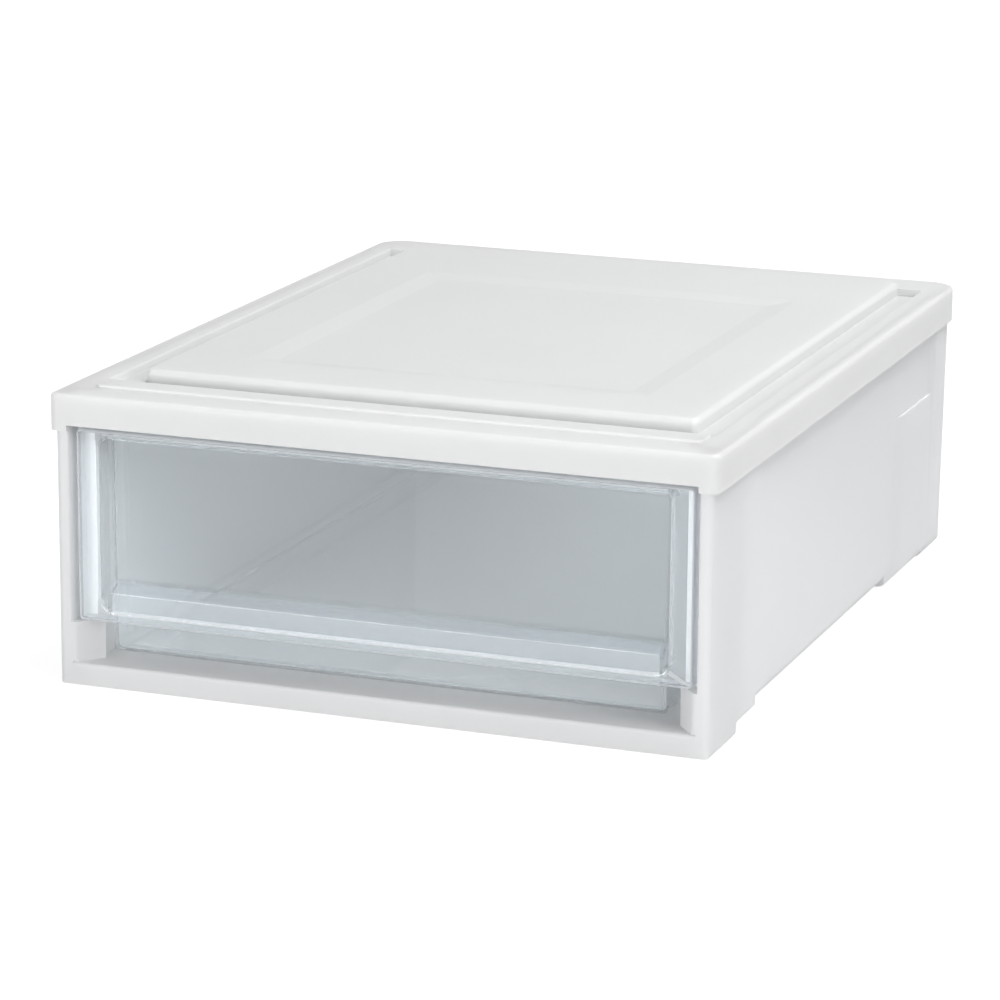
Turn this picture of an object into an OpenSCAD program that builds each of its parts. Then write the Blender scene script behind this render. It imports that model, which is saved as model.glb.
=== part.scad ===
// Stackable storage box with one slide-out drawer. The case is two mouldings, an open tub and
// a cover that snaps over its rim; the drawer is one clear moulding with a grip in its front.
// Millimetres. +Z is up, the front faces -Y, and the origin is under the middle of the box.

/* [Case] */
// Outside width, over the cover
case_w = 400; // [330:1:480]
// Outside depth, over the cover
case_d = 510; // [420:1:615]
// Height of the rails that carry the next box
rail_h = 172; // [140:1:210]
// Thickness of the tub and cover walls
case_wall = 2.5; // [2:0.1:3]
// Lean of each tub side wall over its height
tub_draft = 2; // [0:0.1:2.5]
// Lean of the front posts over their height
post_lean = 1; // [0:0.1:2]
// Lean of the rear wall and rear corners over their height
rear_lean = 2; // [0:0.1:3]
// Top of the floor inside the tub
floor_top = 13; // [12:0.5:18]
// Radius of the tub's two rear corners
rear_r = 15.5; // [8:0.5:24]

/* [Cover] */
// Height of the skirt round the rim
skirt_h = 21.6; // [16:0.1:30]
// Height of the cover's front band above the drawer
band_h = 18; // [14:0.1:26]
// Thickness of the skirt
skirt_wall = 2.2; // [1.8:0.1:2.6]
// Width of each side rail
rail_w = 16.4; // [12:0.1:20]
// Depth of the flat lip at the front edge
lip_d = 24.5; // [15:0.5:35]
// Depth of the rail across the rear
rear_rail = 34; // [20:1:40]
// Rise of the middle panel above the rails
panel_rise = 4; // [2.5:0.1:5]
// Depth of the groove beside the panel, below the rails
groove_depth = 4.5; // [4:0.5:9]
// Width of the groove beside the panel
groove_w = 15.6; // [10:0.2:22]
// Depth of the shallow field in the panel
field_depth = 1.6; // [0.8:0.1:2]
// Snap catches on each side of the tub
catches = 3; // [2:1:5]

/* [Front of the case] */
// Width of each post's flange, from the tub's side to the jamb
post_w = 19; // [15:0.5:23]
// Width of each post's nose beside the drawer's front frame
post_lip = 8.5; // [6:0.5:11]
// Depth of that recess
front_recess = 13.5; // [10:0.5:20]
// Height of the finger gap's top, where the recess begins
recess_z = 37; // [32:1:60]
// Depth of the jamb flanges that guide the drawer
jamb_d = 21.5; // [15:1:40]

/* [Feet] */
// Depth of the front feet
foot_d = 50.5; // [35:0.5:80]
// Lift of the tub's lower edge between the feet
edge_lift = 4.5; // [2:0.5:8]
// Radius along that lower edge
edge_r = 7.5; // [4:0.5:9]
// Clear height under the floor for the panel of the box below
base_h = 10.5; // [8.5:0.5:12]

/* [Drawer] */
// Thickness of the drawer walls
bin_wall = 2; // [1.5:0.1:2.6]
// Drop from the cover's front band to the drawer's rim
rim_drop = 3.8; // [2:0.1:12]
// Gap between the drawer's rim and each jamb
rim_gap = 1.5; // [0.8:0.1:3]
// Width of the rim flange
rim_w = 6.5; // [4:0.5:9]
// Free depth behind the drawer
rear_room = 18; // [8:1:60]
// Gap round the front frame in its recess
frame_gap = 3.3; // [1.5:0.1:5]
// Width of the front frame's face on each side
frame_w = 15.2; // [12:0.1:20]
// Depth from the front frame to the pane
pane_set = 10.5; // [8:0.5:14]
// Height of the runner rails on the tub's floor
runner_h = 4.2; // [2:0.1:7]
// Running gap under the drawer
runner_gap = 0.3; // [0.2:0.1:0.8]
// Height of the grip's upper edge above the frame's lower edge
grip_h = 24; // [18:1:34]
// Thickness of the grip's wall
grip_wall = 2.2; // [1.6:0.1:3]
// Slope of the grip, from the pane down to its lip
grip_drop = 6; // [2:0.5:10]
// Height of the frame's lower strip
lower_strip = 8.5; // [6:0.5:14]
// Depth left inside the case when the drawer is fully out
stop_room = 106; // [80:1:160]

/* [Hidden] */
$fn = 48;

eps = 0.01;
big = 2000;
sides = [-1, 1];

// case
front_y = -case_d / 2;
skirt_gap = 0.3;
tub_in = skirt_wall + skirt_gap;
tub_hw = case_w / 2 - tub_in;
tub_front = front_y + tub_in;
tub_back = -tub_front;
tub_top = rail_h - case_wall;
front_r = 4.5;
wall_step = 2.5;
pilaster_step = 1.7;
jamb_hw = tub_hw - post_w;
nose_hw = tub_hw - post_lip;
web_hw = case_w / 2 - rail_w;
foot_back_y = tub_front + foot_d;
shoulder_back_y = foot_back_y + 35;
shoulder_lift = 6.5;
pilaster_y = tub_back - 109;
pilaster_ramp = 27;
pilaster_top = rail_h * 0.63;
pilaster_lift = 2.5;
back_foot_w = 39.5;
corner_y = tub_back - back_foot_w;
corner_ramp = 10;
corner_edge_r = 9;
back_foot_d = 12.5;
guide_gap = 4.5;
guide_hw = jamb_hw - rim_gap - rim_w + guide_gap;
guide_angle = 53;
guide_r = 4;
post_edge = 1.5;
sill_edge = 2;
recess_back = tub_front + front_recess;
jamb_end = recess_back + jamb_d;
guide_back = tub_front + guide_r * (1 - cos(guide_angle))
    + (nose_hw - guide_r * sin(guide_angle) - guide_hw) * tan(guide_angle);

// cover
skirt_z = rail_h - skirt_h;
band_z = rail_h - band_h;
panel_top = rail_h + panel_rise;
lip_rise = 1.4;
groove_out = case_w / 2 - rail_w;
step_hw = groove_out - 2;
panel_hw = groove_out - groove_w;
groove_z = rail_h - groove_depth;
lip_y = front_y + lip_d;
groove_front = lip_y + 16.5;
groove_back = -front_y - rear_rail;
panel_r = 4;
panel_edge = 3.5;
panel_front = groove_front + 20.5;
panel_back = groove_back + panel_r;
groove_edge = 0.8;
field_front = panel_front + 45.5;
field_back = panel_back - 85;
field_hw = panel_hw - 44;
edge_round = 2.2;
field_slope = 14;

// snap catches: a hook on the tub passes a bead inside the skirt
catch_w = 26;
catch_reach = 2.2;
hook_z = skirt_z + 9;
bead_h = 3;
bead_gap = 0.5;

// drawer
rim_hw = jamb_hw - rim_gap;
bin_hw = rim_hw - rim_w;
bin_draft = 2;
bin_z = floor_top + runner_h + runner_gap;
bin_r = 6;
rim_z = band_z - rim_drop;
frame_set = 3.5;
frame_y = tub_front + frame_set;
pane_y = frame_y + pane_set;
bin_back = tub_back - case_wall - rear_room;
frame_hw = nose_hw - frame_gap;
frame_z = recess_z + 1;
frame_top = band_z - 2.8;
frame_r = 2.5;
pocket_frame_r = 1;
frame_edge = 1.4;
frame_return = 8;
mouth_r = 3.8;
inner_hw = frame_hw - frame_w;
inner_z = frame_z + lower_strip;
inner_top = frame_top - 5.5;
pocket_r = 7;
pocket_top_r = 3;
grip_z = frame_z + grip_h;
grip_hw = inner_hw - 2.5;
grip_end_r = 4.5;
grip_set = 0.9;
grip_angle = atan(grip_drop / (pane_set - grip_set));
nose_r = 1.8;
rim_h = 2.5;
runner_x = inner_hw - 20;
runner_w = 4;
runner_front = front_y + 40;

// stops: tabs on the rear rim meet ribs under the cover
tab_h = 7.5;
tab_w = 40;
tab_x = 80;
tab_y = bin_back - bin_wall - rim_h;
stop_z = rim_z + 4;
stop_back = front_y + stop_room;
stop_t = 3;

// ---- shared shapes ----

// Rectangle with its own radius at the front (-Y) and rear (+Y) corners, from y0 to y1
module round_plan(half_w, y0, y1, front_radius, rear_radius) {
    depth = y1 - y0;
    slim = max(front_radius, rear_radius);
    translate([-half_w + slim, y0]) square([2 * (half_w - slim), depth]);
    translate([-half_w, y0 + front_radius])
        square([2 * half_w, depth - front_radius - rear_radius]);
    translate([-half_w + front_radius, y0])
        square([2 * (half_w - front_radius), depth - rear_radius]);
    translate([-half_w + rear_radius, y0 + front_radius])
        square([2 * (half_w - rear_radius), depth - front_radius]);
    for (s = sides) {
        translate([s * (half_w - front_radius), y0 + front_radius]) circle(front_radius);
        translate([s * (half_w - rear_radius), y1 - rear_radius]) circle(rear_radius);
    }
}

// Sweeps a profile round that rectangle: its X points outwards from the edge and its Y up
module ring(half_w, y0, y1, front_radius, rear_radius) {
    translate([half_w - front_radius, y0, 0]) rotate([90, 0, -90])
        linear_extrude(2 * (half_w - front_radius)) children();
    translate([-half_w + rear_radius, y1, 0]) rotate([90, 0, 90])
        linear_extrude(2 * (half_w - rear_radius)) children();
    both_sides() {
        translate([half_w, y1 - rear_radius, 0]) rotate([90, 0, 0])
            linear_extrude(y1 - y0 - front_radius - rear_radius) children();
        translate([half_w - front_radius, y0 + front_radius, 0]) rotate([0, 0, -90])
            rotate_extrude(angle = 90) translate([front_radius, 0]) children();
        translate([half_w - rear_radius, y1 - rear_radius, 0])
            rotate_extrude(angle = 90) translate([rear_radius, 0]) children();
    }
}

// Profile that rounds the outer edge of a solid, or the edge of an opening
module edge_cut(r)
    difference() {
        translate([-r, -r]) square(r + 1);
        translate([-r, -r]) circle(r);
    }

module mouth_cut(r)
    difference() {
        translate([-1, -r]) square(r + 1);
        translate([r, -r]) circle(r);
    }

// Extrudes an outline drawn in X and Z along Y, from y0 to y1
module along_y(y0, y1)
    translate([0, y1, 0]) rotate([90, 0, 0]) linear_extrude(y1 - y0) children();

// Extrudes an outline drawn in Y and Z along X, over the half width given
module along_x(half_w)
    translate([-half_w, 0, 0]) rotate([90, 0, 90]) linear_extrude(2 * half_w) children();

// Extrudes a plan outline from z0 to z1
module along_z(z0, z1)
    translate([0, 0, z0]) linear_extrude(z1 - z0) children();

// Stands a plan up on its front edge: its Y becomes Z and its Z points to the front from y
module on_face(y)
    translate([0, y, 0]) rotate([90, 0, 0]) children();

// Block |x| <= half_w between two corners
module slab(half_w, y0, y1, z0, z1)
    translate([-half_w, y0, z0]) cube([2 * half_w, y1 - y0, z1 - z0]);

module both_sides() {
    children();
    mirror([1, 0, 0]) children();
}

function arc(cx, cz, r, a0, a1, steps = 8) =
    [for (i = [0 : steps]) let (a = a0 + (a1 - a0) * i / steps) [cx + r * cos(a), cz + r * sin(a)]];

// ---- tub ----

// Outline of the tub across its width: a drafted wall with a rounded lower edge
module tub_section(top_hw, foot_hw, low_z, r) {
    edge_hw = foot_hw + (top_hw - foot_hw) * (low_z + r) / tub_top;
    edge = arc(edge_hw - r, low_z + r, r, -90, 0);
    half = concat([[0, low_z]], edge, [[top_hw, tub_top], [0, tub_top]]);
    polygon(half);
    mirror([1, 0]) polygon(half);
}

// One stretch of the tub from y0 to y1, drawn in from its outside by inset
module tub_stretch(y0, y1, top_hw, foot_hw, low_z, r, inset)
    along_y(y0, y1)
        tub_section(top_hw - inset, foot_hw - inset, low_z + inset, max(r - inset, 1));

// Plan of the tub: the rear wall and the rear corners lean in towards the floor
module tub_plan(inset) {
    hw = tub_hw - inset;
    y0 = tub_front + inset;
    y1 = tub_back - inset;
    r = rear_r - inset;
    nose = front_r - inset;
    grow = rear_lean / tub_top;
    along_z(-1, tub_top + 1) {
        translate([-hw, y0 + nose]) square([2 * hw, y1 - r - y0 - nose]);
        translate([-hw + nose, y0]) square([2 * (hw - nose), nose + 1]);
        for (s = sides) translate([s * (hw - nose), y0 + nose]) circle(nose);
    }
    along_x(hw - r)
        polygon([[y1 - r - 1, -1], [y1 - rear_lean - grow, -1], [y1 + grow, tub_top + 1],
                 [y1 - r - 1, tub_top + 1]]);
    for (s = sides)
        translate([s * (hw - r), y1 - r, -1])
            cylinder(h = tub_top + 2, r1 = r - rear_lean - grow, r2 = r + grow);
}

// The whole outer form, or with inset > 0 the form of its inside
module tub_form(inset) {
    wall_hw = tub_hw - wall_step;
    pilaster_hw = tub_hw - pilaster_step;
    foot_hw = tub_hw - post_lean;
    intersection() {
        tub_plan(inset);
        union() {
            tub_stretch(tub_front, foot_back_y - inset, tub_hw, foot_hw, 0, 1.2, inset);
            tub_stretch(tub_front, shoulder_back_y - inset, tub_hw, foot_hw, shoulder_lift, 1.2,
                        inset);
            tub_stretch(tub_front, tub_back, wall_hw, wall_hw - tub_draft, edge_lift, edge_r, inset);
            pilaster_form(pilaster_hw, inset);
            corner_form(inset);
        }
    }
}

// Shallow pilaster low on each side, reached by a long ramp from the wall
module pilaster_form(pilaster_hw, inset)
    intersection() {
        tub_stretch(pilaster_y - pilaster_ramp, corner_y, pilaster_hw, pilaster_hw, pilaster_lift,
                    edge_r, inset);
        along_z(0, pilaster_top - inset) ramp_plan(tub_hw - wall_step - tub_draft, pilaster_hw,
                                                   pilaster_y, pilaster_ramp, corner_y, inset);
    }

// Full-width rear corner, with the rear feet under it
module corner_form(inset)
    intersection() {
        tub_stretch(corner_y - corner_ramp, tub_back, tub_hw, tub_hw - rear_lean, 0, corner_edge_r,
                    inset);
        along_z(-eps, tub_top + eps) ramp_plan(tub_hw - pilaster_step - rear_lean, tub_hw,
                                               corner_y, corner_ramp, tub_back, inset);
    }

// Plan of a stretch that widens from x0 to x1 over a ramp that ends at y1
module ramp_plan(x0, x1, y1, ramp, y2, inset) {
    half = [[0, y1 - ramp + inset], [x0 - inset, y1 - ramp + inset], [x1 - inset, y1 + inset],
            [x1 - inset, y2], [0, y2]];
    polygon(half);
    mirror([1, 0]) polygon(half);
}

// Inside of the tub: over the floor, and down into the channel above the feet
module tub_inside()
    difference() {
        tub_form(case_wall);
        slab(web_hw + case_wall, front_y, tub_back - back_foot_d, -big, floor_top);
        slab(big, front_y, recess_back + case_wall, -big, big);
    }

// Space under the floor, where the panel of the box below stands
module base_recess()
    along_z(-1, base_h)
        round_plan(web_hw, tub_front + case_wall, tub_back - back_foot_d + case_wall, 6, 6);

// Everything the drawer's front and the fingers need at the open front of the case
module front_opening() {
    slab(nose_hw, front_y, recess_back, recess_z, big);
    slab(jamb_hw, front_y, jamb_end, recess_z, big);
    along_z(floor_top, recess_z + eps) {
        half = concat([[0, front_y], [nose_hw, front_y]],
                      arc(nose_hw, tub_front + guide_r, guide_r, 270, 270 - guide_angle),
                      [[guide_hw, guide_back], [jamb_hw, guide_back], [jamb_hw, jamb_end],
                       [0, jamb_end]]);
        polygon(half);
        mirror([1, 0]) polygon(half);
    }
    both_sides() along_z(recess_z, big)
        translate([nose_hw, tub_front]) mirror([0, 1]) mouth_cut(post_edge);
    along_x(nose_hw) translate([tub_front, floor_top]) mouth_cut(sill_edge);
}

// Hollow of each post, open to the inside of the tub: a slot behind the nose, and the room
// behind the slanted guide below it
module post_core() {
    core_out = tub_hw - post_lean - case_wall;
    core_in = jamb_hw + case_wall;
    front = tub_front + case_wall;
    back = recess_back + case_wall + eps;
    skin = case_wall / cos(guide_angle);
    both_sides() {
        along_z(case_wall, big)
            polygon([[nose_hw + case_wall, front], [core_out, front], [core_out, back],
                     [nose_hw + case_wall, back]]);
        along_z(case_wall, recess_z - case_wall) intersection() {
            translate([core_in, front]) square([core_out - core_in, back - front]);
            polygon([[guide_hw + (guide_back + skin - front + 1) / tan(guide_angle), front - 1],
                     [core_out + 1, front - 1], [core_out + 1, jamb_end], [core_in - 1, jamb_end],
                     [core_in - 1, guide_back + skin - (core_in - 1 - guide_hw) * tan(guide_angle)]]);
        }
    }
}

// Jamb flange behind each post: the drawer's rim runs between the two
module jambs()
    both_sides()
        translate([jamb_hw, recess_back, base_h])
            cube([case_wall, jamb_end - recess_back, tub_top - base_h]);

// Rails that the drawer slides on, rounded down at their front ends
module runners()
    both_sides()
        translate([runner_x - runner_w / 2, 0, 0]) rotate([90, 0, 90]) linear_extrude(runner_w) {
            back = tub_back - back_foot_d - 5;
            polygon(concat([[runner_front, floor_top - 1]],
                           arc(runner_front + runner_h, floor_top, runner_h, 180, 90),
                           [[back, floor_top + runner_h], [back, floor_top - 1]]));
        }

// Places of the snap catches along a side
function catch_y(i) =
    shoulder_back_y + 20 + i * (pilaster_y - shoulder_back_y - 60) / (catches - 1);

// Hooks on the tub walls, chamfered above so that the skirt rides over them
module hooks()
    both_sides() for (i = [0 : catches - 1])
        along_y(catch_y(i) - catch_w / 2, catch_y(i) + catch_w / 2)
            polygon([[tub_hw - wall_step - 1, hook_z], [tub_hw - 0.3, hook_z],
                     [tub_hw - 0.3, hook_z + 1], [tub_hw - wall_step - 1, hook_z + 6]]);

module case_body()
    color("whitesmoke") {
        difference() {
            tub_form(0);
            tub_inside();
            base_recess();
            front_opening();
            post_core();
        }
        intersection() {
            tub_form(0);
            union() {
                jambs();
                runners();
            }
        }
        hooks();
    }

// ---- cover ----

// Panel that stands in the middle of the cover, its top edge rounded all round
module panel()
    difference() {
        along_z(groove_z - case_wall, panel_top)
            round_plan(panel_hw, panel_front, panel_back, panel_r, panel_r);
        ring(panel_hw, panel_front, panel_back, panel_r, panel_r)
            translate([0, panel_top]) edge_cut(panel_edge);
    }

// Low step between the lip and the groove, with rounded long edges
module lip_step()
    difference() {
        top = rail_h + lip_rise;
        along_z(tub_top, top)
            polygon([[-step_hw, lip_y + 2], [-step_hw + 2, lip_y], [step_hw - 2, lip_y],
                     [step_hw, lip_y + 2], [step_hw, groove_front], [-step_hw, groove_front]]);
        along_x(step_hw) {
            translate([groove_front, top]) edge_cut(groove_edge);
            translate([lip_y, top]) mirror([1, 0]) edge_cut(groove_edge);
        }
    }

// Walls and floor of the groove round the panel
module groove_tray()
    slab(groove_out + case_wall, groove_front - case_wall, groove_back + case_wall,
         groove_z - case_wall, rail_h);

// Hollow under the panel, one wall below its surface
module panel_hollow()
    along_z(groove_z - case_wall - 1, panel_top - case_wall)
        round_plan(panel_hw - case_wall, panel_front + case_wall, panel_back - case_wall, 1, 1);

// Shallow field in the panel: its four edges slope in over a wide band
module panel_field(drop, grow) {
    z0 = panel_top - field_depth - drop;
    z1 = panel_top - drop + 1;
    foot = field_slope - grow;
    rise = field_slope / field_depth;
    intersection() {
        along_y(field_front - grow - rise, field_back + grow + rise)
            polygon([[-field_hw + foot, z0], [field_hw - foot, z0], [field_hw + grow + rise, z1],
                     [-field_hw - grow - rise, z1]]);
        along_x(field_hw + grow + rise)
            polygon([[field_front + foot, z0], [field_back - foot, z0],
                     [field_back + grow + rise, z1], [field_front - grow - rise, z1]]);
    }
}

// Skirt round the rim, lower over the posts than across the drawer
module skirt() {
    edge_front = front_r + 0.5;
    edge_rear = rear_r + tub_in;
    difference() {
        along_z(skirt_z, rail_h)
            round_plan(case_w / 2, front_y, -front_y, edge_front, edge_rear);
        along_z(skirt_z - 1, tub_top)
            round_plan(case_w / 2 - skirt_wall, front_y + skirt_wall, -front_y - skirt_wall,
                       front_r - skirt_gap, rear_r + skirt_gap);
        slab(nose_hw, front_y - 1, tub_front, skirt_z - 1, band_z);
        ring(case_w / 2, front_y, -front_y, edge_front, edge_rear)
            translate([0, rail_h]) edge_cut(edge_round);
    }
}

// Beads inside the skirt that snap under the tub's hooks
module beads()
    both_sides() for (i = [0 : catches - 1])
        along_y(catch_y(i) - catch_w / 2, catch_y(i) + catch_w / 2) {
            outer = case_w / 2 - skirt_wall;
            reach = outer - catch_reach;
            top = hook_z - bead_gap;
            polygon([[outer + 1, top], [reach, top], [reach, top - 1], [outer + 1, top - bead_h - 1]]);
        }

// Ribs under the cover that the drawer's tabs meet at the end of the travel
module stop_ribs()
    for (s = sides)
        translate([s * tab_x - tab_w / 2 - 4, stop_back - stop_t, stop_z])
            cube([tab_w + 8, stop_t, panel_top - field_depth - 0.5 - stop_z]);

module top_cover()
    color("white") {
        difference() {
            union() {
                difference() {
                    union() {
                        skirt();
                        lip_step();
                        groove_tray();
                    }
                    slab(groove_out, groove_front, groove_back, groove_z, big);
                    both_sides() along_y(groove_front, groove_back)
                        translate([groove_out, rail_h]) mouth_cut(groove_edge);
                }
                panel();
            }
            difference() {
                panel_hollow();
                panel_field(case_wall, case_wall);
            }
            panel_field(0, 0);
        }
        beads();
        stop_ribs();
    }

// ---- drawer ----

// Form of the bin: drafted sides and rear, rounded corners and lower edges
module bin_form(inset) {
    hw = bin_hw - inset;
    y0 = pane_y + inset;
    y1 = bin_back - rim_h - inset;
    z0 = bin_z + inset;
    r = bin_r - inset;
    z1 = rim_z + (inset > 0 ? 1 : 0);
    intersection() {
        along_z(z0, z1) round_plan(hw, y0, y1, r, r);
        along_y(y0 - 1, y1 + 1) {
            half = concat([[0, z0]], arc(hw - bin_draft - r, z0 + r, r, -90, 0),
                          [[hw, z1], [0, z1]]);
            polygon(half);
            mirror([1, 0]) polygon(half);
        }
        along_x(hw + 1)
            polygon(concat(arc(y0 + r, z0 + r, r, 180, 270),
                           arc(y1 - bin_draft - r, z0 + r, r, -90, 0), [[y1, z1], [y0, z1]]));
    }
}

// Flat flange round the rim, with the stop tabs standing on its rear
module rim_flange() {
    along_z(rim_z - rim_h, rim_z)
        round_plan(rim_hw, pane_y + 1, bin_back, 1, bin_r + 3);
    for (s = sides)
        translate([s * tab_x - tab_w / 2, tab_y, rim_z - rim_h]) cube([tab_w, bin_wall, rim_h + tab_h]);
}

// Front frame: a flat face with rounded edges and a return all round
module front_frame()
    difference() {
        along_y(frame_y, frame_y + frame_return)
            round_plan(frame_hw, frame_z, frame_top, frame_r, frame_r);
        along_y(frame_y + bin_wall, frame_y + frame_return + 1)
            round_plan(frame_hw - bin_wall, frame_z + bin_wall, frame_top - bin_wall,
                       pocket_frame_r, pocket_frame_r);
        on_face(frame_y) ring(frame_hw, frame_z, frame_top, frame_r, frame_r)
            edge_cut(frame_edge);
    }

// Wall from the frame back to the pane
module reveal()
    difference() {
        along_y(frame_y + 1, pane_y + bin_wall)
            round_plan(inner_hw + bin_wall, inner_z - bin_wall, inner_top + bin_wall,
                       pocket_r + bin_wall, pocket_top_r + bin_wall);
        slab(bin_hw - bin_wall, pane_y - eps, big, -big, big);
    }

// Pocket in front of the pane, its mouth rounded into the frame's face
module pocket() {
    along_y(frame_y - 1, pane_y)
        round_plan(inner_hw, inner_z, inner_top, pocket_r, pocket_top_r);
    on_face(frame_y) ring(inner_hw, inner_z, inner_top, pocket_r, pocket_top_r)
        mouth_cut(mouth_r);
}

// Prism along the grip's slope with rounded upper corners, inset from the grip's outside
module grip_ends(inset)
    translate([0, pane_y, grip_z]) rotate([grip_angle, 0, 0])
        along_y(-60, 30)
            round_plan(grip_hw - inset, -60, -inset, 1, max(grip_end_r - inset, 1));

// Grip across the lower part of the front: a sloping top, a rounded nose and an upright face
module grip() {
    face_y = frame_y + grip_set;
    mid_y = face_y + nose_r;
    mid_z = grip_z + ((mid_y - pane_y) * sin(grip_angle) - nose_r) / cos(grip_angle);
    intersection() {
        along_x(grip_hw)
            polygon(concat([[pane_y + 1, inner_z - 4], [pane_y + 1, grip_z + tan(grip_angle)]],
                           arc(mid_y, mid_z, nose_r, 90 + grip_angle, 180),
                           [[face_y, inner_z - 4]]));
        grip_ends(0);
    }
}

// Finger hollow behind the grip, open below
module grip_hollow() {
    roof_z = grip_z - grip_wall / cos(grip_angle);
    inner_y = frame_y + grip_set + grip_wall;
    intersection() {
        along_x(grip_hw - grip_wall)
            polygon([[pane_y, frame_z - 1], [pane_y, roof_z],
                     [inner_y, roof_z - (pane_y - inner_y) * tan(grip_angle)],
                     [inner_y, inner_z - 2], [frame_y + bin_wall, inner_z - 4],
                     [frame_y + bin_wall, frame_z - 1]]);
        grip_ends(grip_wall);
    }
}

module drawer()
    color("lightcyan", 0.5)
        difference() {
            union() {
                bin_form(0);
                rim_flange();
                difference() {
                    union() {
                        front_frame();
                        reveal();
                    }
                    pocket();
                }
                grip();
            }
            bin_form(bin_wall);
            grip_hollow();
        }

case_body();
top_cover();
drawer();
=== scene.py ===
"""Stackable drawer box: white case and cover in satin plastic, one clear, slightly hazy drawer."""

import math

import bpy
from mathutils import Matrix, Vector


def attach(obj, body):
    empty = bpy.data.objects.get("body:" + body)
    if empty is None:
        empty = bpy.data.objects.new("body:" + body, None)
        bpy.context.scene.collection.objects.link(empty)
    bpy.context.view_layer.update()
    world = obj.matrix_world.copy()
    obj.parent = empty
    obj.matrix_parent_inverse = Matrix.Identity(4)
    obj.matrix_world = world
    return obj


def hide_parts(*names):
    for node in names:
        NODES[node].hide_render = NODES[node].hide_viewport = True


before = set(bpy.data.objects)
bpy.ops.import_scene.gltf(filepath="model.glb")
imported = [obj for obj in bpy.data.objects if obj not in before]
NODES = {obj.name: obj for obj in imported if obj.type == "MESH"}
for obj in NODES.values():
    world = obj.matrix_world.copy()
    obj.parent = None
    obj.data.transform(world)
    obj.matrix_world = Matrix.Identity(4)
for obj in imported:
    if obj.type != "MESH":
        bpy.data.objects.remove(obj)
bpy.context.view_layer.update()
bpy.ops.object.select_all(action="DESELECT")

# Finish of the mouldings. CLEARNESS is the transmission seen straight on and edge-on, and LIGHT is
# what a shadow ray keeps at each surface.
WHITE_CASE = (0.925, 0.928, 0.933)
WHITE_COVER = (0.93, 0.932, 0.932)
CASE_ROUGHNESS = 0.42
COVER_ROUGHNESS = 0.40
FLOW_SHADE = 0.985
FLOW_SCALE = 7.0
SHEEN_SCALE = 34.0
SHEEN_SPREAD = 0.04
GRAIN_SCALE = 2400.0
GRAIN_STRENGTH = 0.08
GRAIN_DEPTH = 0.0002
CLEAR_TINT = (0.875, 0.91, 0.93)
CLEAR_ROUGHNESS = 0.06
CLEARNESS = (0.92, 0.45)
CLEAR_LIGHT = 0.985
FROST_TINT = (0.78, 0.80, 0.825)
FROST_ROUGHNESS = 0.30
FROST_CLEARNESS = (0.45, 0.35)
FROST_LIGHT = 0.4
FROST_GLAZE = 0.0
SOFT_IOR = 1.12
GLAZE = 1.0
GLAZE_ROUGHNESS = 0.05
POLISH_SCALE = 26.0
POLISH_SPREAD = (-0.015, 0.02)
HAZE_START = 0.25
FRAME_INSIDE = 0.1744
FRAME_BACK = -0.2402
FRAME_LOW = 0.0435
FRAME_HIGH = 0.1485
PLASTIC_IOR = 1.49
WELD = 0.00001
FLAT_ANGLE = math.radians(0.8)
SHARP_ANGLE = math.radians(32)
BROAD_FACE = 0.0025
CREASE_ANGLE = math.radians(1.0)
THIN_WALL_GLOW = 0.38

# Studio
WORLD_LIGHT = 0.14
BACKDROP = 1.0
LAMPS = {
    "side": ((2.75, -1.55, 1.5), (1.5, 1.8), 48.0),
    "front": ((-1.0, -3.1, 0.5), (2.4, 0.9), 60.0),
    "top": ((1.2, 0.6, 3.1), (1.5, 1.5), 84.0),
}
LAMP_TARGET = (0, 0, 0.08)
FLOOR_SIZE = 14.0
FLOOR_DROP = 0.0004
FLOOR_GREY = 0.5
FLOOR_ROUGHNESS = 0.9
FLOOR_LIFT = 0.84

# Camera: fitted view of the box from its front right, a little above it
CAMERA_PLACE = (0.84345, -2.29984, 0.69426)
CAMERA_AZIMUTH = 20.5952
CAMERA_ELEVATION = 14.3419
CAMERA_ROLL = 0.3929
FOCAL_PIXELS = 4117.37
IMAGE_PIXELS = 1000
SENSOR_MM = 36.0


def make_camera():
    az, el = math.radians(CAMERA_AZIMUTH), math.radians(CAMERA_ELEVATION)
    back = Vector((math.sin(az) * math.cos(el), -math.cos(az) * math.cos(el), math.sin(el)))
    right = (-back).cross(Vector((0, 0, 1))).normalized()
    up = right.cross(-back)
    roll = math.radians(CAMERA_ROLL)
    turned_right = math.cos(roll) * right + math.sin(roll) * up
    turned_up = -math.sin(roll) * right + math.cos(roll) * up
    turn = Matrix((turned_right, turned_up, back)).transposed().to_4x4()
    data = bpy.data.cameras.new("camera")
    data.sensor_width = SENSOR_MM
    data.lens = FOCAL_PIXELS / IMAGE_PIXELS * SENSOR_MM
    data.clip_start, data.clip_end = 0.05, 50
    camera = bpy.data.objects.new("camera", data)
    camera.matrix_world = Matrix.Translation(CAMERA_PLACE) @ turn
    bpy.context.scene.collection.objects.link(camera)
    bpy.context.scene.camera = camera


def new_material(name):
    material = bpy.data.materials.new(name)
    material.use_nodes = True
    nodes = material.node_tree.nodes
    return material, nodes, material.node_tree.links, nodes["Principled BSDF"]


def noise(nodes, links, coords, scale, detail=3.0):
    texture = nodes.new("ShaderNodeTexNoise")
    texture.inputs["Scale"].default_value = scale
    texture.inputs["Detail"].default_value = detail
    links.new(coords.outputs["Object"], texture.inputs["Vector"])
    return texture.outputs["Fac"]


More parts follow.
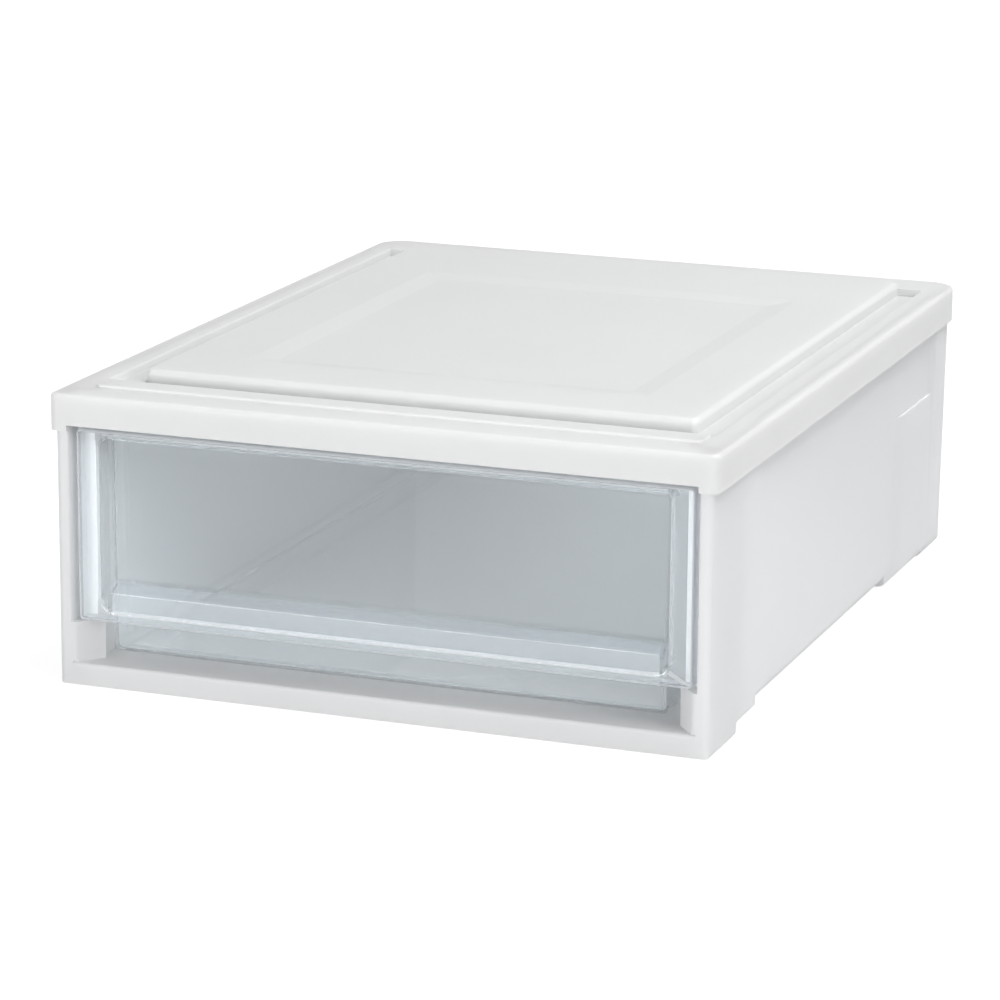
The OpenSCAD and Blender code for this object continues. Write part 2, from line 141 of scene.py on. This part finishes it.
def spread(nodes, links, source, low, high):
    """Maps the middle of a noise onto a range."""
    span = nodes.new("ShaderNodeMapRange")
    span.inputs["From Min"].default_value = 0.3
    span.inputs["From Max"].default_value = 0.7
    span.inputs["To Min"].default_value = low
    span.inputs["To Max"].default_value = high
    links.new(source, span.inputs["Value"])
    return span.outputs["Result"]


def grain_bump(nodes, links, shader, coords):
    """Fine spark-eroded skin of the mould."""
    bump = nodes.new("ShaderNodeBump")
    bump.inputs["Strength"].default_value = GRAIN_STRENGTH
    bump.inputs["Distance"].default_value = GRAIN_DEPTH
    links.new(noise(nodes, links, coords, GRAIN_SCALE, 2.0), bump.inputs["Height"])
    links.new(bump.outputs["Normal"], shader.inputs["Normal"])


def white_plastic(name, colour, roughness):
    """Satin injection-moulded polypropylene, faintly mottled, whose thin walls pass some light."""
    material, nodes, links, shader = new_material(name)
    coords = nodes.new("ShaderNodeTexCoord")
    flow = nodes.new("ShaderNodeMix")
    flow.data_type = "RGBA"
    flow.inputs["A"].default_value = (*[c * FLOW_SHADE for c in colour], 1)
    flow.inputs["B"].default_value = (*colour, 1)
    links.new(spread(nodes, links, noise(nodes, links, coords, FLOW_SCALE), 0, 1),
              flow.inputs["Factor"])
    links.new(flow.outputs["Result"], shader.inputs["Base Color"])
    links.new(spread(nodes, links, noise(nodes, links, coords, SHEEN_SCALE),
                     roughness - SHEEN_SPREAD, roughness + SHEEN_SPREAD),
              shader.inputs["Roughness"])
    grain_bump(nodes, links, shader, coords)
    shader.inputs["IOR"].default_value = PLASTIC_IOR
    through = nodes.new("ShaderNodeBsdfTranslucent")
    links.new(flow.outputs["Result"], through.inputs["Color"])
    wall = nodes.new("ShaderNodeMixShader")
    wall.inputs[0].default_value = THIN_WALL_GLOW
    links.new(shader.outputs[0], wall.inputs[1])
    links.new(through.outputs[0], wall.inputs[2])
    links.new(wall.outputs[0], nodes["Material Output"].inputs["Surface"])
    return material


def clear_plastic(name, tint, roughness, clearness, light_pass, glaze):
    """Clear polypropylene with a light milky haze that thickens where it's seen edge-on."""
    material, nodes, links, shader = new_material(name)
    coords = nodes.new("ShaderNodeTexCoord")
    links.new(spread(nodes, links, noise(nodes, links, coords, POLISH_SCALE),
                     roughness + POLISH_SPREAD[0], roughness + POLISH_SPREAD[1]),
              shader.inputs["Roughness"])
    shader.inputs["Base Color"].default_value = (*tint, 1)
    shader.inputs["IOR"].default_value = SOFT_IOR
    shader.inputs["Coat Weight"].default_value = glaze
    shader.inputs["Coat Roughness"].default_value = GLAZE_ROUGHNESS
    shader.inputs["Coat IOR"].default_value = PLASTIC_IOR
    edge = nodes.new("ShaderNodeLayerWeight")
    edge.inputs["Blend"].default_value = 0.5
    haze = nodes.new("ShaderNodeMapRange")
    haze.inputs["From Min"].default_value = HAZE_START
    haze.inputs["To Min"].default_value = clearness[0]
    haze.inputs["To Max"].default_value = clearness[1]
    links.new(edge.outputs["Facing"], haze.inputs["Value"])
    links.new(haze.outputs["Result"], shader.inputs["Transmission Weight"])
    lets_light = nodes.new("ShaderNodeBsdfTransparent")
    lets_light.inputs["Color"].default_value = (light_pass, light_pass, light_pass, 1)
    path = nodes.new("ShaderNodeLightPath")
    choose = nodes.new("ShaderNodeMixShader")
    links.new(path.outputs["Is Shadow Ray"], choose.inputs[0])
    links.new(shader.outputs[0], choose.inputs[1])
    links.new(lets_light.outputs[0], choose.inputs[2])
    links.new(choose.outputs[0], nodes["Material Output"].inputs["Surface"])
    return material


def crease(mesh):
    """Keeps corners crisp where two broad faces meet, and the narrow faces of a fillet smooth."""
    faces = {}
    for face in mesh.polygons:
        face.use_smooth = True
        rim = sum((mesh.vertices[a].co - mesh.vertices[b].co).length for a, b in face.edge_keys)
        broad = 2 * face.area / rim > BROAD_FACE
        for key in face.edge_keys:
            faces.setdefault(key, []).append((face.normal.copy(), broad))
    for edge in mesh.edges:
        sides = faces.get(tuple(sorted(edge.vertices)), [])
        if len(sides) != 2:
            continue
        turn = sides[0][0].angle(sides[1][0], 0)
        both_broad = sides[0][1] and sides[1][1]
        edge.use_edge_sharp = turn > SHARP_ANGLE or (both_broad and turn > CREASE_ANGLE)


def moulding(node, body, material):
    """Stands for a CAD node: its triangles joined into whole faces and its curves shaded smooth."""
    mesh = NODES[node].data.copy()
    mesh.name = node + "_moulding"
    piece = bpy.data.objects.new(mesh.name, mesh)
    bpy.context.scene.collection.objects.link(piece)
    bpy.ops.object.select_all(action="DESELECT")
    piece.select_set(True)
    bpy.context.view_layer.objects.active = piece
    bpy.ops.object.mode_set(mode="EDIT")
    bpy.ops.mesh.select_all(action="SELECT")
    bpy.ops.mesh.remove_doubles(threshold=WELD)
    bpy.ops.mesh.dissolve_limited(angle_limit=FLAT_ANGLE)
    bpy.ops.object.mode_set(mode="OBJECT")
    crease(mesh)
    weigh = piece.modifiers.new("even_normals", "WEIGHTED_NORMAL")
    weigh.keep_sharp = True
    bpy.ops.object.modifier_apply(modifier=weigh.name)
    mesh.materials.clear()
    mesh.materials.append(material)
    piece.select_set(False)
    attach(piece, body)
    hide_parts(node)
    return piece


def frost_frame(drawer, finish):
    """Gives the matt finish to the frame's faces whose centre lies outside the pane.

    The frame's broad front is one ring-shaped face centred on the pane, so it stays polished.
    """
    drawer.data.materials.append(finish)
    for face in drawer.data.polygons:
        place = face.center
        outside = (abs(place.x) > FRAME_INSIDE or place.z < FRAME_LOW or place.z > FRAME_HIGH)
        if place.y < FRAME_BACK and outside:
            face.material_index = 1


def make_world():
    """Even studio light, with a white backdrop for the eye, gloss and clear plastic."""
    world = bpy.data.worlds.new("studio")
    bpy.context.scene.world = world
    world.use_nodes = True
    nodes, links = world.node_tree.nodes, world.node_tree.links
    light = nodes["Background"]
    light.inputs["Color"].default_value = (1, 1, 1, 1)
    light.inputs["Strength"].default_value = WORLD_LIGHT
    seen = nodes.new("ShaderNodeBackground")
    seen.inputs["Color"].default_value = (1, 1, 1, 1)
    seen.inputs["Strength"].default_value = BACKDROP
    choose = nodes.new("ShaderNodeMixShader")
    links.new(eye_ray(nodes, links), choose.inputs[0])
    links.new(light.outputs[0], choose.inputs[1])
    links.new(seen.outputs[0], choose.inputs[2])
    links.new(choose.outputs[0], nodes["World Output"].inputs["Surface"])


def eye_ray(nodes, links):
    """1 for the rays that show the backdrop: straight, by gloss or through clear plastic."""
    path = nodes.new("ShaderNodeLightPath")
    value = path.outputs["Is Camera Ray"]
    for name in ("Is Glossy Ray", "Is Transmission Ray"):
        most = nodes.new("ShaderNodeMath")
        most.operation = "MAXIMUM"
        links.new(value, most.inputs[0])
        links.new(path.outputs[name], most.inputs[1])
        value = most.outputs["Value"]
    unlit = nodes.new("ShaderNodeMath")
    unlit.operation = "LESS_THAN"
    links.new(path.outputs["Diffuse Depth"], unlit.inputs[0])
    unlit.inputs[1].default_value = 0.5
    direct = nodes.new("ShaderNodeMath")
    direct.operation = "MULTIPLY"
    links.new(value, direct.inputs[0])
    links.new(unlit.outputs["Value"], direct.inputs[1])
    return direct.outputs["Value"]


def softbox(name, place, target, size, power):
    data = bpy.data.lights.new(name, "AREA")
    data.shape = "RECTANGLE"
    data.size, data.size_y = size
    data.energy = power
    lamp = bpy.data.objects.new(name, data)
    lamp.location = place
    aim = Vector(target) - Vector(place)
    lamp.rotation_euler = aim.to_track_quat("-Z", "Y").to_euler()
    bpy.context.scene.collection.objects.link(lamp)


def make_floor():
    """Plain pale floor that keeps the box's shadow and meets the backdrop without a line."""
    bpy.ops.mesh.primitive_plane_add(size=FLOOR_SIZE, location=(0, 0, -FLOOR_DROP))
    floor = bpy.context.object
    floor.name = "studio_floor"
    material, nodes, links, shader = new_material("studio_floor")
    shader.inputs["Base Color"].default_value = (FLOOR_GREY, FLOOR_GREY, FLOOR_GREY, 1)
    shader.inputs["Roughness"].default_value = FLOOR_ROUGHNESS
    shader.inputs["Specular IOR Level"].default_value = 0.0
    glow = nodes.new("ShaderNodeEmission")
    glow.inputs["Color"].default_value = (1, 1, 1, 1)
    lift = nodes.new("ShaderNodeMath")
    lift.operation = "MULTIPLY"
    lift.inputs[1].default_value = FLOOR_LIFT
    links.new(eye_ray(nodes, links), lift.inputs[0])
    links.new(lift.outputs["Value"], glow.inputs["Strength"])
    both = nodes.new("ShaderNodeAddShader")
    links.new(shader.outputs[0], both.inputs[0])
    links.new(glow.outputs[0], both.inputs[1])
    links.new(both.outputs[0], nodes["Material Output"].inputs["Surface"])
    floor.data.materials.append(material)


make_camera()
make_world()
make_floor()
for lamp_name, (place, size, power) in LAMPS.items():
    softbox(lamp_name, place, LAMP_TARGET, size, power)

case_finish = white_plastic("case_white", WHITE_CASE, CASE_ROUGHNESS)
cover_finish = white_plastic("cover_white", WHITE_COVER, COVER_ROUGHNESS)
clear_finish = clear_plastic("drawer_clear", CLEAR_TINT, CLEAR_ROUGHNESS, CLEARNESS, CLEAR_LIGHT,
                             GLAZE)
frost_finish = clear_plastic("drawer_frost", FROST_TINT, FROST_ROUGHNESS, FROST_CLEARNESS,
                             FROST_LIGHT, FROST_GLAZE)
moulding("case_body", "case", case_finish)
moulding("top_cover", "case", cover_finish)
drawer = moulding("drawer", "drawer", clear_finish)
frost_frame(drawer, frost_finish)

bpy.context.scene.view_settings.view_transform = "Standard"
bounces = bpy.context.scene.cycles
bounces.max_bounces = 20
bounces.diffuse_bounces = 10
bounces.transmission_bounces = 16
bounces.transparent_max_bounces = 24
